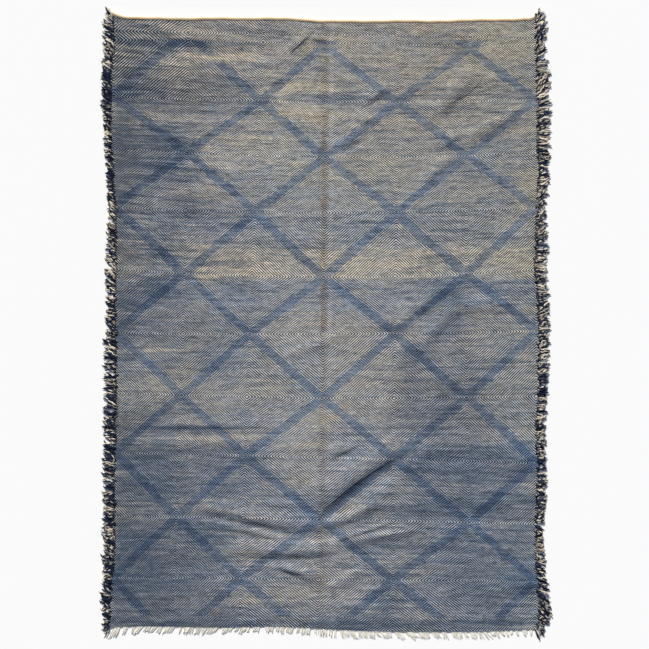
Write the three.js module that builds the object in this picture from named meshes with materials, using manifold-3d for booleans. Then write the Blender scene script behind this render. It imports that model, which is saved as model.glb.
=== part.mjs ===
// A flat-woven zanafi rug lying face up on a floor, in millimetres, +Z up and +Y towards its head.
// One sheet of cloth lies flat but for the folds that ripple it. A twined cord finishes its head,
// tufts of weft ends hang on both sides, and short warp ends hang on its foot.
import * as THREE from "three";
import Module from "manifold-3d";
import { mergeVertices } from "three/addons/utils/BufferGeometryUtils.js";

const wasm = await Module();
wasm.setup();

// Driving dimensions
const CLOTH_THICKNESS = 5;
const PIECE_GAP = 0.3;
const CORD_WIDTH = 7;
const CORD_HEIGHT = 6;
const STRIP_WIDTH = 8;
const STRIP_HEIGHT = 4.6;
const SIDE_TUFTS = 88;
const FOOT_TUFTS = 76;
const SIDE_TUFT = { width: 17, height: 4.2, tipWidth: 9, tipHeight: 2.4 };
const FOOT_TUFT = { width: 11, height: 2.6, tipWidth: 7, tipHeight: 1.4 };
const TUFT_ROOT_DEPTH = 4;
const TUFT_ROOT_RISE = 0.5;

// The cloth's outline and the reach of its tufts, from the foot of the rug to its head.
// left and right are the x of the woven edges. The out columns say how far the tufts reach past them,
// and the lean columns how many degrees the tufts lean towards the head.
const SIDES = [
  { y: -1156, left: -832, leftOut: 22, leftLean: -30, right: 806, rightOut: 24, rightLean: -35 },
  { y: -1115, left: -829, leftOut: 26, leftLean: 10, right: 813, rightOut: 33, rightLean: -5 },
  { y: -1060, left: -828, leftOut: 37, leftLean: 14, right: 817, rightOut: 46, rightLean: 34 },
  { y: -970, left: -821, leftOut: 33, leftLean: 5, right: 813, rightOut: 32, rightLean: 28 },
  { y: -895, left: -813, leftOut: 40, leftLean: -8, right: 806, rightOut: 31, rightLean: 12 },
  { y: -780, left: -811, leftOut: 34, leftLean: 10, right: 803, rightOut: 27, rightLean: 6 },
  { y: -640, left: -811, leftOut: 31, leftLean: 0, right: 808, rightOut: 33, rightLean: 12 },
  { y: -515, left: -811, leftOut: 38, leftLean: 12, right: 810, rightOut: 30, rightLean: 0 },
  { y: -380, left: -807, leftOut: 32, leftLean: 18, right: 805, rightOut: 31, rightLean: 8 },
  { y: -285, left: -805, leftOut: 42, leftLean: -6, right: 812, rightOut: 40, rightLean: -6 },
  { y: -190, left: -804, leftOut: 34, leftLean: 4, right: 814, rightOut: 36, rightLean: 4 },
  { y: -60, left: -802, leftOut: 40, leftLean: -4, right: 814, rightOut: 39, rightLean: 8 },
  { y: 75, left: -809, leftOut: 26, leftLean: 6, right: 812, rightOut: 43, rightLean: 0 },
  { y: 190, left: -807, leftOut: 33, leftLean: 12, right: 802, rightOut: 37, rightLean: -14 },
  { y: 300, left: -806, leftOut: 34, leftLean: 10, right: 803, rightOut: 37, rightLean: 6 },
  { y: 400, left: -806, leftOut: 31, leftLean: 18, right: 806, rightOut: 30, rightLean: -6 },
  { y: 530, left: -812, leftOut: 26, leftLean: 22, right: 813, rightOut: 35, rightLean: 0 },
  { y: 700, left: -824, leftOut: 28, leftLean: 16, right: 811, rightOut: 51, rightLean: -8 },
  { y: 800, left: -825, leftOut: 32, leftLean: 10, right: 813, rightOut: 44, rightLean: 6 },
  { y: 880, left: -826, leftOut: 35, leftLean: -22, right: 810, rightOut: 55, rightLean: 26 },
  { y: 960, left: -822, leftOut: 37, leftLean: -10, right: 808, rightOut: 44, rightLean: 4 },
  { y: 1040, left: -817, leftOut: 37, leftLean: 32, right: 806, rightOut: 34, rightLean: 24 },
  { y: 1120, left: -818, leftOut: 36, leftLean: 40, right: 807, rightOut: 42, rightLean: 44 },
  { y: 1172, left: -820, leftOut: 30, leftLean: 44, right: 805, rightOut: 34, rightLean: 50 },
];

// y of the woven edge at the head and at the foot, from left to right
const HEAD = [
  { x: -822, y: 1176 },
  { x: -806, y: 1169 },
  { x: -780, y: 1160 },
  { x: -720, y: 1158 },
  { x: -400, y: 1156 },
  { x: -130, y: 1154 },
  { x: -10, y: 1146 },
  { x: 80, y: 1145 },
  { x: 300, y: 1146 },
  { x: 470, y: 1146 },
  { x: 600, y: 1151 },
  { x: 750, y: 1154 },
  { x: 783, y: 1159 },
  { x: 806, y: 1173 },
];
const FOOT = [
  { x: -832, y: -1156 },
  { x: -780, y: -1148 },
  { x: -600, y: -1146 },
  { x: -380, y: -1150 },
  { x: -180, y: -1146 },
  { x: -20, y: -1154 },
  { x: 200, y: -1164 },
  { x: 420, y: -1166 },
  { x: 620, y: -1164 },
  { x: 806, y: -1156 },
];

// How far the foot's tufts reach, and how many degrees they lean to the right
const FOOT_TUFTS_LIE = [
  { x: -832, out: 38, lean: -18 },
  { x: -780, out: 32, lean: -26 },
  { x: -640, out: 22, lean: -30 },
  { x: -560, out: 30, lean: -26 },
  { x: -400, out: 18, lean: -22 },
  { x: -230, out: 20, lean: -12 },
  { x: -90, out: 22, lean: 0 },
  { x: -10, out: 33, lean: 8 },
  { x: 80, out: 31, lean: 16 },
  { x: 250, out: 28, lean: 22 },
  { x: 380, out: 28, lean: 28 },
  { x: 500, out: 32, lean: 24 },
  { x: 640, out: 24, lean: 20 },
  { x: 760, out: 22, lean: 16 },
  { x: 806, out: 33, lean: 22 },
];

// The folds that ripple the cloth. from, by and to are points on the crest, height is how far it
// lifts, and left and right are the widths of its two slopes, seen along the crest.
const FOLDS = [
  // the long diagonal fold, steep on its lower side, and the soft rise beyond its valley
  { from: [-50, -712], by: [84, -598], to: [296, -443], height: 20, left: 100, right: 46 },
  { from: [53, -773], by: [205, -667], to: [418, -460], height: 7, left: 62, right: 70 },
  // the swag that runs across under it
  { from: [-480, -675], by: [-290, -735], to: [-30, -773], height: 6, left: 52, right: 24 },
  { from: [-190, -781], by: [-15, -773], to: [175, -690], height: 8, left: 52, right: 30 },
  { from: [92, -705], by: [262, -678], to: [470, -690], height: 4, left: 30, right: 24 },
  // ripples below the swag
  { from: [-448, -758], by: [-342, -785], to: [-243, -800], height: 4.5, left: 22, right: 22 },
  { from: [-266, -811], by: [-114, -857], to: [45, -842], height: 11, left: 52, right: 28 },
  { from: [45, -827], by: [205, -789], to: [395, -770], height: 7.5, left: 50, right: 30 },
  { from: [-220, -895], by: [-114, -944], to: [-8, -982], height: 4.5, left: 34, right: 16 },
  { from: [-30, -986], by: [61, -960], to: [167, -903], height: 4, left: 38, right: 26 },
  { from: [418, -845], by: [471, -807], to: [524, -777], height: 4, left: 32, right: 24 },
  // soft ridges in the middle, right of the centre
  { from: [15, -488], by: [84, -469], to: [167, -431], height: 6, left: 42, right: 26 },
  { from: [281, -51], by: [258, -190], to: [216, -382], height: 9, left: 86, right: 44 },
  { from: [479, -135], by: [441, -256], to: [376, -400], height: 6, left: 70, right: 55 },
  { from: [403, 142], by: [380, 97], to: [346, 48], height: 4, left: 28, right: 22 },
  { from: [517, 173], by: [384, 85], to: [236, -21], height: 5, left: 34, right: 50 },
  { from: [775, 44], by: [604, 70], to: [433, 40], height: 8, left: 34, right: 50 },
  { from: [486, 66], by: [426, -2], to: [350, -82], height: 8, left: 40, right: 34 },
  // folds in the upper right
  { from: [426, 750], by: [509, 861], to: [612, 967], height: 9, left: 60, right: 36 },
  { from: [418, 663], by: [479, 705], to: [547, 747], height: 6, left: 40, right: 20 },
  { from: [490, 705], by: [623, 770], to: [756, 827], height: 7, left: 30, right: 60 },
  { from: [369, 504], by: [429, 583], to: [498, 637], height: 5, left: 42, right: 28 },
  { from: [38, 659], by: [91, 694], to: [156, 732], height: 8, left: 46, right: 26 },
  { from: [46, 625], by: [110, 655], to: [186, 694], height: 4, left: 24, right: 40 },
  { from: [129, 827], by: [186, 857], to: [243, 884], height: 5, left: 36, right: 26 },
  { from: [84, 743], by: [167, 773], to: [251, 800], height: 3, left: 36, right: 26 },
  // small creases near the head and on the left
  { from: [-160, 1020], by: [-95, 1070], to: [-34, 1115], height: 4, left: 24, right: 16 },
  { from: [-68, 1077], by: [-23, 1089], to: [23, 1077], height: 3, left: 20, right: 16 },
  { from: [-676, 754], by: [-566, 720], to: [-471, 678], height: 4, left: 36, right: 26 },
  { from: [-467, 629], by: [-403, 591], to: [-338, 560], height: 4, left: 32, right: 24 },
  { from: [-190, -131], by: [-46, -85], to: [80, -25], height: 4, left: 28, right: 20 },
  { from: [-752, -410], by: [-479, -382], to: [-182, -410], height: 3, left: 38, right: 26 },
  { from: [-740, -470], by: [-500, -452], to: [-240, -462], height: 2.5, left: 24, right: 50 },
];
const CREST_STEPS = 20;

// The cloth's grid: its cells halve until they follow the folds and edges this closely
const GRID_COLUMNS = 15;
const GRID_ROWS = 21;
const COARSE_CELL = 8;
const FOLD_TOLERANCE = 1.8;
const EDGE_TOLERANCE = 2;

const INDIGO = "#2c3550";
const CREAM = "#d8c8ab";
const HEATHER = "#7b7e85";

// A smooth value read from one column of a table at a place along it.
function column(table, along, name) {
  const places = table.map((row) => row[along]);
  const curve = new THREE.CubicInterpolant(places, table.map((row) => row[name]), 1);
  const low = places[0];
  const high = places[places.length - 1];
  return (at) => curve.evaluate(THREE.MathUtils.clamp(at, low, high))[0];
}

const leftEdge = column(SIDES, "y", "left");
const rightEdge = column(SIDES, "y", "right");
const headEdge = column(HEAD, "x", "y");
const footEdge = column(FOOT, "x", "y");

// A repeatable stream of numbers from 0 to 1.
function makeRandom(seed) {
  let state = seed;
  return () => {
    state = (state * 16807) % 2147483647;
    return state / 2147483647;
  };
}

// Each fold with its crest as a run of points and the sheet of floor that it can reach.
const creases = FOLDS.map((fold) => {
  const [from, by, to] = [fold.from, fold.by, fold.to].map(([x, y]) => new THREE.Vector2(x, y));
  const bend = by.clone().multiplyScalar(2).sub(from.clone().add(to).multiplyScalar(0.5));
  const crest = new THREE.QuadraticBezierCurve(from, bend, to).getPoints(CREST_STEPS);
  const reach = new THREE.Box2().setFromPoints(crest).expandByScalar(Math.max(fold.left, fold.right));
  return { ...fold, crest, reach };
});

// The nearest place on a crest: how far along it, how far off, and on which side.
function nearestOnCrest(crest, point) {
  const best = { off: Infinity, along: 0, onLeft: false };
  for (let i = 0; i < CREST_STEPS; i++) {
    const step = crest[i + 1].clone().sub(crest[i]);
    const away = point.clone().sub(crest[i]);
    const share = THREE.MathUtils.clamp(away.dot(step) / step.lengthSq(), 0, 1);
    const off = away.clone().addScaledVector(step, -share).length();
    if (off < best.off) {
      best.off = off;
      best.along = (i + share) / CREST_STEPS;
      best.onLeft = step.cross(away) > 0;
    }
  }
  return best;
}

// How far the cloth is lifted off the floor.
function lift(x, y) {
  const point = new THREE.Vector2(x, y);
  let total = 0;
  for (const { crest, reach, height, left, right } of creases) {
    if (!reach.containsPoint(point)) continue;
    const { off, along, onLeft } = nearestOnCrest(crest, point);
    const slope = Math.min(off / (onLeft ? left : right), 1);
    const run = Math.pow(1 - Math.pow(2 * along - 1, 2), 0.8);
    total += height * run * Math.pow(1 - slope * slope, 2);
  }
  return total;
}

// A grid point, counted in the smallest cells, as a place on the underside of the cloth.
function gridPoint(i, j) {
  const across = i / (GRID_COLUMNS * COARSE_CELL);
  const up = j / (GRID_ROWS * COARSE_CELL);
  const guide = THREE.MathUtils.lerp(HEAD[0].x, HEAD[HEAD.length - 1].x, across);
  const y = THREE.MathUtils.lerp(footEdge(guide), headEdge(guide), up);
  const x = THREE.MathUtils.lerp(leftEdge(y), rightEdge(y), across);
  return new THREE.Vector3(x, y, lift(x, y));
}

const gridPoints = new Map();
function pointAt(i, j) {
  const key = i + "," + j;
  if (!gridPoints.has(key)) gridPoints.set(key, gridPoint(i, j));
  return gridPoints.get(key);
}

// Whether a cell is too coarse for the folds in it or for the edge that it lies on.
function isRough({ i, j, size }) {
  const corner = (a, b) => pointAt(i + a * size, j + b * size);
  for (const a of [0.25, 0.5, 0.75]) {
    for (const b of [0.25, 0.5, 0.75]) {
      const low = THREE.MathUtils.lerp(corner(0, 0).z, corner(1, 0).z, a);
      const high = THREE.MathUtils.lerp(corner(0, 1).z, corner(1, 1).z, a);
      const point = gridPoint(i + a * size, j + b * size);
      if (Math.abs(point.z - THREE.MathUtils.lerp(low, high, b)) > FOLD_TOLERANCE) return true;
    }
  }
  const edges = [];
  if (i === 0) edges.push([corner(0, 0), corner(0, 1), pointAt(i, j + size / 2)]);
  if (i + size === GRID_COLUMNS * COARSE_CELL) {
    edges.push([corner(1, 0), corner(1, 1), pointAt(i + size, j + size / 2)]);
  }
  if (j === 0) edges.push([corner(0, 0), corner(1, 0), pointAt(i + size / 2, j)]);
  if (j + size === GRID_ROWS * COARSE_CELL) {
    edges.push([corner(0, 1), corner(1, 1), pointAt(i + size / 2, j + size)]);
  }
  return edges.some(([a, b, middle]) => a.clone().lerp(b, 0.5).distanceTo(middle) > EDGE_TOLERANCE);
}

function quarter({ i, j, size }) {
  const half = size / 2;
  return [
    { i, j, size: half },
    { i: i + half, j, size: half },
    { i, j: j + half, size: half },
    { i: i + half, j: j + half, size: half },
  ];
}

// The grid's cells, halved where the cloth is rough, with neighbours at most twice as large.
function gridCells() {
  let cells = [];
  for (let i = 0; i < GRID_COLUMNS; i++) {
    for (let j = 0; j < GRID_ROWS; j++) {
      cells.push({ i: i * COARSE_CELL, j: j * COARSE_CELL, size: COARSE_CELL });
    }
  }
  for (let size = COARSE_CELL; size > 1; size /= 2) {
    cells = cells.flatMap((cell) => (cell.size === size && isRough(cell) ? quarter(cell) : [cell]));
  }
  for (let before = 0; before < cells.length; ) {
    before = cells.length;
    const corners = cornersOf(cells);
    const tooCoarse = (cell) => cell.size > 2 && quarterPoints(cell).some((key) => corners.has(key));
    cells = cells.flatMap((cell) => (tooCoarse(cell) ? quarter(cell) : [cell]));
  }
  return cells;
}

function cornersOf(cells) {
  const keys = cells.flatMap(({ i, j, size }) => [
    i + "," + j,
    i + size + "," + j,
    i + size + "," + (j + size),
    i + "," + (j + size),
  ]);
  return new Set(keys);
}

// Points a quarter and three quarters along a cell's sides, where a much smaller neighbour has corners.
function quarterPoints({ i, j, size }) {
  const keys = [];
  for (const step of [size / 4, (3 * size) / 4]) {
    keys.push(i + step + "," + j, i + step + "," + (j + size));
    keys.push(i + "," + (j + step), i + size + "," + (j + step));
  }
  return keys;
}

// The triangles of one cell, as grid points. A cell with finer neighbours is a fan from its middle,
// and any other is cut along the diagonal that lies closer to the cloth.
function cellTriangles({ i, j, size }, corners) {
  const half = size / 2;
  const ring = [
    [i, j],
    [i + half, j],
    [i + size, j],
    [i + size, j + half],
    [i + size, j + size],
    [i + half, j + size],
    [i, j + size],
    [i, j + half],
  ];
  const isCorner = (place) => place % 2 === 0;
  const used = ring.filter(([a, b], place) => isCorner(place) || corners.has(a + "," + b));
  if (used.length > 4) {
    const middle = [i + half, j + half];
    return used.map((point, place) => [middle, point, used[(place + 1) % used.length]]);
  }
  const [a, b, c, d] = used;
  const middle = gridPoint(i + half, j + half).z;
  const height = (p, q) => (pointAt(...p).z + pointAt(...q).z) / 2;
  const risesAlongAC = Math.abs(height(a, c) - middle) <= Math.abs(height(b, d) - middle);
  return risesAlongAC ? [[a, b, c], [a, c, d]] : [[a, b, d], [b, c, d]];
}

// One closed geometry from points and triangles of indices.
function closedGeometry(points, triangles) {
  const geometry = new THREE.BufferGeometry().setFromPoints(points);
  geometry.setIndex(triangles.flat());
  geometry.computeVertexNormals();
  return geometry;
}

// The cloth, and the grid points along each of its four edges.
function makeCloth() {
  const cells = gridCells();
  const corners = cornersOf(cells);
  const order = new Map();
  const places = [];
  const numbered = ([i, j]) => {
    const key = i + "," + j;
    if (!order.has(key)) {
      order.set(key, places.length);
      places.push([i, j]);
    }
    return order.get(key);
  };
  const under = cells.flatMap((cell) => cellTriangles(cell, corners)).map((t) => t.map(numbered));
  const count = places.length;
  const onFloor = places.map(([i, j]) => pointAt(i, j));
  const onTop = onFloor.map((p) => new THREE.Vector3(p.x, p.y, p.z + CLOTH_THICKNESS));
  const rims = new Map();
  for (const [a, b, c] of under) {
    for (const [from, to] of [[a, b], [b, c], [c, a]]) {
      if (!rims.delete(to + "," + from)) rims.set(from + "," + to, [from, to]);
    }
  }
  const walls = [...rims.values()].flatMap(([a, b]) => [
    [a, b, b + count],
    [a, b + count, a + count],
  ]);
  const triangles = [
    ...under.map(([a, b, c]) => [a, c, b]),
    ...under.map((t) => t.map((index) => index + count)),
    ...walls,
  ];
  const along = (wanted, axis) =>
    places
      .filter(wanted)
      .sort((p, q) => p[axis] - q[axis])
      .map(([i, j]) => new THREE.Vector2(pointAt(i, j).x, pointAt(i, j).y));
  const edges = {
    left: along(([i]) => i === 0, 1).reverse(),
    right: along(([i]) => i === GRID_COLUMNS * COARSE_CELL, 1),
    head: along(([, j]) => j === GRID_ROWS * COARSE_CELL, 0).reverse(),
    foot: along(([, j]) => j === 0, 0),
  };
  return { geometry: closedGeometry([...onFloor, ...onTop], triangles), edges };
}

// Outward directions at the points of an edge that is walked with the cloth on its left.
function outwards(edge) {
  return edge.map((_, k) => {
    const before = edge[Math.max(k - 1, 0)];
    const after = edge[Math.min(k + 1, edge.length - 1)];
    const run = after.clone().sub(before).normalize();
    return new THREE.Vector2(run.y, -run.x);
  });
}

// A closed bar that follows an edge. section holds [out, z] points, counter-clockwise as seen
// looking along the walk.
function barAlong(edge, section) {
  const outward = outwards(edge);
  const sides = section.length;
  const points = edge.flatMap((p, k) =>
    section.map(([out, z]) => new THREE.Vector3(p.x + outward[k].x * out, p.y + outward[k].y * out, z)),
  );
  const triangles = [];
  for (let k = 0; k + 1 < edge.length; k++) {
    for (let s = 0; s < sides; s++) {
      const a = k * sides + s;
      const b = k * sides + ((s + 1) % sides);
      triangles.push([a, b + sides, b], [a, a + sides, b + sides]);
    }
  }
  const last = (edge.length - 1) * sides;
  for (let s = 1; s + 1 < sides; s++) {
    triangles.push([0, s, s + 1], [last, last + s + 1, last + s]);
  }
  return closedGeometry(points, triangles);
}

// A tuft: three faces tapering over two stretches, its flat one on the floor.
function tuftGeometry(root, direction, length, bend, form) {
  const aside = new THREE.Vector2(-direction.y, direction.x);
  const stations = [
    { along: 0, off: 0, base: TUFT_ROOT_RISE, width: form.width, height: form.height },
    { along: 0.55, off: bend, base: 0, width: form.width, height: form.height },
    { along: 1, off: bend * 0.4, base: 0, width: form.tipWidth, height: form.tipHeight },
  ];
  const points = stations.flatMap(({ along, off, base, width, height }) => {
    const centre = root.clone().addScaledVector(direction, along * length).addScaledVector(aside, off);
    const left = centre.clone().addScaledVector(aside, width / 2);
    const right = centre.clone().addScaledVector(aside, -width / 2);
    return [
      new THREE.Vector3(right.x, right.y, base),
      new THREE.Vector3(left.x, left.y, base),
      new THREE.Vector3(centre.x, centre.y, height),
    ];
  });
  const triangles = [[0, 2, 1], [6, 7, 8]];
  for (const ring of [0, 3]) {
    for (let s = 0; s < 3; s++) {
      const a = ring + s;
      const b = ring + ((s + 1) % 3);
      triangles.push([a, b, b + 3], [a, b + 3, a + 3]);
    }
  }
  return closedGeometry(points, triangles);
}

function toSolid(geometry) {
  const plain = geometry.clone();
  plain.deleteAttribute("normal");
  plain.deleteAttribute("uv");
  const merged = mergeVertices(plain, 1e-4);
  const vertProperties = merged.getAttribute("position").array;
  const triVerts = new Uint32Array(merged.index.array);
  return new wasm.Manifold(new wasm.Mesh({ numProp: 3, vertProperties, triVerts }));
}

function fromSolid(solid) {
  const { numProp, vertProperties, triVerts } = solid.getMesh();
  const geometry = new THREE.BufferGeometry();
  const values = new THREE.BufferAttribute(new Float32Array(vertProperties), numProp);
  geometry.setAttribute("position", values);
  geometry.setIndex(new THREE.BufferAttribute(new Uint32Array(triVerts), 1));
  geometry.computeVertexNormals();
  return geometry;
}

// A narrow strip beside an edge with tufts growing from it. lie(point) gives each tuft's reach past
// the edge and its lean along the walk, in degrees.
function makeFringe(edge, count, form, lie, seed) {
  const random = makeRandom(seed);
  const inner = PIECE_GAP;
  const outer = PIECE_GAP + STRIP_WIDTH;
  const strip = barAlong(edge, [[inner, 0], [outer, 0], [outer, STRIP_HEIGHT], [inner, STRIP_HEIGHT]]);
  const steps = edge.map((p, k) => (k ? p.distanceTo(edge[k - 1]) : 0));
  const total = steps.reduce((sum, step) => sum + step, 0);
  const pitch = total / count;
  let joined = toSolid(strip);
  let passed = 0;
  let k = 1;
  for (let n = 0; n < count; n++) {
    const target = (n + 0.5 + 0.16 * (random() - 0.5)) * pitch;
    while (k + 1 < edge.length && passed + steps[k] < target) {
      passed += steps[k];
      k += 1;
    }
    const run = edge[k].clone().sub(edge[k - 1]).normalize();
    const out = new THREE.Vector2(run.y, -run.x);
    const foot = edge[k - 1].clone().addScaledVector(run, target - passed);
    const { reach, lean } = lie(foot);
    const angle = THREE.MathUtils.degToRad(lean + 5 * (random() - 0.5));
    const direction = out.clone().rotateAround(new THREE.Vector2(), angle);
    const root = foot.clone().addScaledVector(out, outer - TUFT_ROOT_DEPTH);
    const length = (reach * (0.86 + 0.28 * random()) - outer + TUFT_ROOT_DEPTH) / Math.cos(angle);
    const narrowed = { ...form, width: form.width * Math.cos(angle) };
    const bend = 1.6 * (random() - 0.5);
    joined = joined.add(toSolid(tuftGeometry(root, direction, length, bend, narrowed)));
  }
  return fromSolid(joined);
}

function named(name, geometry, color, roughness) {
  const material = new THREE.MeshStandardMaterial({ color, roughness, metalness: 0 });
  const mesh = new THREE.Mesh(geometry, material);
  mesh.name = name;
  return mesh;
}

const { geometry: clothGeometry, edges } = makeCloth();

// The heading cord, a flat-bottomed bar of six sides along the head
const cordSection = [
  [PIECE_GAP + 1.2, 0],
  [PIECE_GAP + CORD_WIDTH - 1.2, 0],
  [PIECE_GAP + CORD_WIDTH, CORD_HEIGHT / 2],
  [PIECE_GAP + CORD_WIDTH - 1.2, CORD_HEIGHT],
  [PIECE_GAP + 1.2, CORD_HEIGHT],
  [PIECE_GAP, CORD_HEIGHT / 2],
];

const leftOut = column(SIDES, "y", "leftOut");
const leftLean = column(SIDES, "y", "leftLean");
const rightOut = column(SIDES, "y", "rightOut");
const rightLean = column(SIDES, "y", "rightLean");
const footOut = column(FOOT_TUFTS_LIE, "x", "out");
const footLean = column(FOOT_TUFTS_LIE, "x", "lean");
const leftLie = (p) => ({ reach: leftOut(p.y), lean: -leftLean(p.y) });
const rightLie = (p) => ({ reach: rightOut(p.y), lean: rightLean(p.y) });
const footLie = (p) => ({ reach: footOut(p.x), lean: footLean(p.x) });

const rug = new THREE.Group();
rug.add(
  named("rug_field", clothGeometry, HEATHER, 0.95),
  named("heading_cord", barAlong(edges.head, cordSection), CREAM, 0.9),
  named("side_fringe_left", makeFringe(edges.left, SIDE_TUFTS, SIDE_TUFT, leftLie, 11), INDIGO, 0.95),
  named("side_fringe_right", makeFringe(edges.right, SIDE_TUFTS, SIDE_TUFT, rightLie, 29), INDIGO, 0.95),
  named("warp_fringe", makeFringe(edges.foot, FOOT_TUFTS, FOOT_TUFT, footLie, 53), CREAM, 0.9),
);

// The origin lies under the middle of the rug's box, on the floor.
const box = new THREE.Box3().setFromObject(rug);
const middle = box.getCenter(new THREE.Vector3());
rug.position.set(-middle.x, -middle.y, -box.min.z);

export default rug;
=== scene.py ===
"""A flat-woven zanafi rug, lying face up on a pale floor under soft light.

The tables and named sizes are in millimetres, with +Y towards the head of the rug. Blender's are in metres.
"""
import math

import bpy
import numpy as np
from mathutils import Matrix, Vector


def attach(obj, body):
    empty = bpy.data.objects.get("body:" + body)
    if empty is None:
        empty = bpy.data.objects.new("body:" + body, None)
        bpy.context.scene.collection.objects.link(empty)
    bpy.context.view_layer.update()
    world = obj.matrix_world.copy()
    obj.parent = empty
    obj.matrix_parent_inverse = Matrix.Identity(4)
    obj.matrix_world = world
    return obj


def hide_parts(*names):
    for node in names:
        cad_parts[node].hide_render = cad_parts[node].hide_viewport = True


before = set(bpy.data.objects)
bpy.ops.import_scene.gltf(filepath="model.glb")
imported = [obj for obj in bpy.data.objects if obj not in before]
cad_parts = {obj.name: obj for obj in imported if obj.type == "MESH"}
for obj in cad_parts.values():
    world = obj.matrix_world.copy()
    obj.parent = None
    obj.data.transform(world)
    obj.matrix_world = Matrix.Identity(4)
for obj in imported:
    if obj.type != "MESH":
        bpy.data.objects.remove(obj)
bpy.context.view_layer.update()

MM = 0.001

# The cloth
CLOTH_THICKNESS = 5.0
COLUMNS = 224
ROWS = 320
ROW_SHARES = (0.0, 0.05, 0.31, 1.0)  # of all rows, up to each of the heights below
ROW_HEIGHTS = (0.0, 0.063, 0.223, 1.0)
UNEVENNESS = 0.45
SHARP_ANGLE = 62.0
SHIFT = (-0.72, -0.70)  # from the tables' origin to the middle of the rug's box

# The weave: twill lines from one corner of a half diamond to the next, and yarns to each line
TWILL_LINES = 25.0
YARNS_PER_LINE = 4.0
YARNS = TWILL_LINES * YARNS_PER_LINE

# The lattice: the first three are shares of a half diamond, PATTERN_HEAD is a y in metres, and the rest are
# counted in rows or columns
BAND_PLACE = 0.985
BAND_HALF_WIDTH = 0.094
BORDER_TURN = 0.14
PATTERN_HEAD = 1.077
PATTERN_FOOT = 9.6
LAST_ROW = 10.0
MIDDLE_COLUMN = 3.0

# Streaks of dye: how many picks high and how long in metres, the noise's offset, and how strong
DYE_STREAKS = ((2.0, 0.06, 1.0, 1.9), (3.6, 0.13, 2.0, 1.6), (3.0, 0.60, 4.0, 1.5), (9.0, 0.35, 3.0, 1.1))

# The side fringes. A twist is the length of one turn of a yarn's plies, and a fall is how far out from the
# cloth a yarn comes down to the floor.
SIDE_STRANDS = 576
SIDE_STEPS = 16
SIDE_YARN_RADIUS = 2.85
SIDE_TWIST = 24.0
SIDE_KINK_LENGTH = 19.0
SIDE_MOST_LEAN = 1.15  # in radians
SIDE_FALL = 14.0
SIDE_MIXED_SHARE = 0.30  # of the yarns, with one navy ply and one cream

# The fringe at the foot
FOOT_CLUMPS = 92
FOOT_CLUMP_STRANDS = 6
FOOT_STEPS = 9
FOOT_YARN_RADIUS = 1.15
FOOT_TWIST = 15.0
FOOT_INSET = 5.0
FOOT_ROOT_HEIGHT = 2.6
FOOT_FALL = 12.0

# The heading cord
CORD_STEPS = 1301
CORD_PLY_RADIUS = 2.7
CORD_PLY_TWIST = 9.0
CORD_SPREAD = (3.2, 1.5)  # how far the plies' middles swing aside and up
CORD_TURN = 15.0
CORD_HEIGHT = 4.4
PIECE_GAP = 0.3

# The bake's square: where the cloth's face and underside start across it and how wide they are, the three
# places across its rims, and the start and height of all three; then the edge of each strand's own cell, the
# part of the cell that its side fills, and where its two ends lie
FACE_ACROSS = (0.005, 0.705)
UNDERSIDE_ACROSS = (0.735, 0.26)
RIM_ACROSS = (0.716, 0.722, 0.728)
CLOTH_UP = (0.005, 0.99)
CELL_EDGE = 0.08
CELL_FILL = 0.84
CELL_ENDS = (0.06, 0.94)


def table(columns, rows):
    """A table as {column: array}."""
    values = np.array(rows, float)
    return {name: values[:, k] for k, name in enumerate(columns.split())}


# The cloth's outline and the reach of its tufts, from foot to head. left and right are the x of the woven
# edges, the out columns say how far the tufts reach past them, and the lean columns how many degrees they
# lean towards the head.
SIDES = table("y left left_out left_lean right right_out right_lean", [
    (-1156, -832, 22, -30, 806, 26, -58),
    (-1115, -829, 26, 24, 813, 36, -45),
    (-1060, -828, 37, 30, 817, 48, -38),
    (-970, -821, 33, 24, 813, 32, -30),
    (-895, -813, 44, 20, 806, 31, -20),
    (-780, -811, 44, 22, 803, 27, -8),
    (-640, -811, 43, 18, 808, 35, 10),
    (-515, -811, 45, 22, 810, 30, 6),
    (-380, -807, 44, 18, 805, 31, 12),
    (-285, -805, 44, 14, 812, 34, 0),
    (-190, -804, 45, 22, 814, 36, 14),
    (-60, -802, 49, 16, 814, 39, 8),
    (75, -809, 34, 24, 812, 43, 10),
    (190, -807, 40, 26, 802, 42, -14),
    (300, -806, 34, 28, 803, 42, -6),
    (400, -806, 31, 30, 806, 34, 22),
    (530, -812, 26, 32, 813, 37, 20),
    (700, -824, 26, 34, 811, 46, -8),
    (800, -825, 32, 30, 813, 42, 10),
    (880, -826, 36, 36, 810, 50, 32),
    (960, -822, 36, 38, 808, 44, 14),
    (1040, -817, 36, 40, 806, 37, 36),
    (1120, -818, 36, 38, 807, 38, 42),
    (1172, -820, 26, 24, 805, 24, 30),
])

# y of the woven edge at the head and at the foot
HEAD = table("x y", [
    (-822, 1184), (-806, 1177), (-780, 1168), (-720, 1162), (-400, 1159), (-130, 1157), (-10, 1149),
    (80, 1148), (300, 1149), (470, 1149), (600, 1154), (750, 1156), (783, 1160), (806, 1182),
])
FOOT = table("x y", [
    (-832, -1156), (-780, -1148), (-600, -1146), (-380, -1150), (-180, -1146),
    (-20, -1154), (200, -1164), (420, -1166), (620, -1164), (806, -1156),
])

# How far the warp ends reach past the foot, and how many degrees they lean to the right
FOOT_ENDS = table("x out lean", [
    (-832, 40, -18), (-780, 38, -26), (-640, 30, -30), (-560, 34, -26), (-400, 25, -22), (-230, 26, -12),
    (-90, 27, 0), (-10, 34, 8), (80, 32, 16), (250, 30, 22), (380, 30, 28), (500, 32, 24),
    (640, 28, 20), (760, 26, 16), (806, 33, 22),
])

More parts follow.
